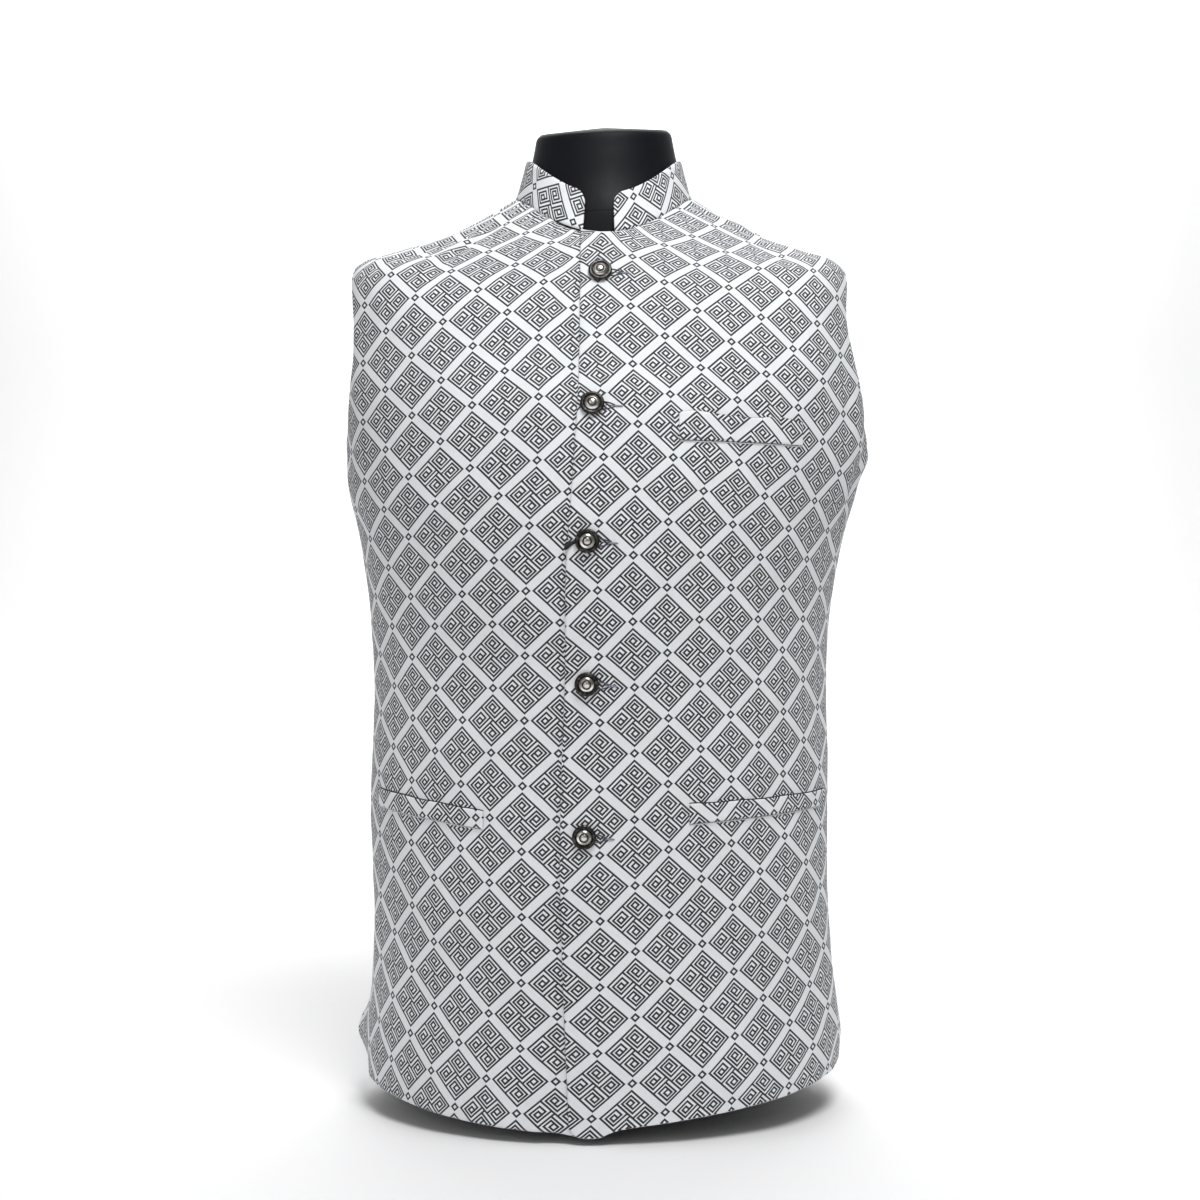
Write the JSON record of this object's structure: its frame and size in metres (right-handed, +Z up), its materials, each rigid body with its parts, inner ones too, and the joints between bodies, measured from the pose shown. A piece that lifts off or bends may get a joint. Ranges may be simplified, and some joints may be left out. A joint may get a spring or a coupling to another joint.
{
  "type": "nehru jacket on limbless dress form",
  "caption": "Sleeveless stand-collar jacket, buttoned down the front with welt pockets, worn by a smooth limbless dress form that stands on a flat base.",
  "frame": {"origin": "middle of the box that holds the part, on the surface that the dress form stands on", "axes": "+Z up, -Y the front of the jacket, +X the viewer's right (the wearer's left)"},
  "size_m": [0.4134, 0.2634, 0.7866],
  "materials": {
    "form": "smooth satin black",
    "cloth": "woven suiting, white ground with a dark slate line lattice of stepped spirals",
    "button": "antique silver dome in a dark gunmetal rim"
  },
  "bodies": {
    "root": {"dress_form": "form", "front_left": "cloth", "front_right": "cloth", "back": "cloth", "collar": "cloth", "welt_chest": "cloth", "welt_right": "cloth", "welt_left": "cloth", "button_1": "button", "button_2": "button", "button_3": "button", "button_4": "button", "button_5": "button"}
  },
  "joints": []
}
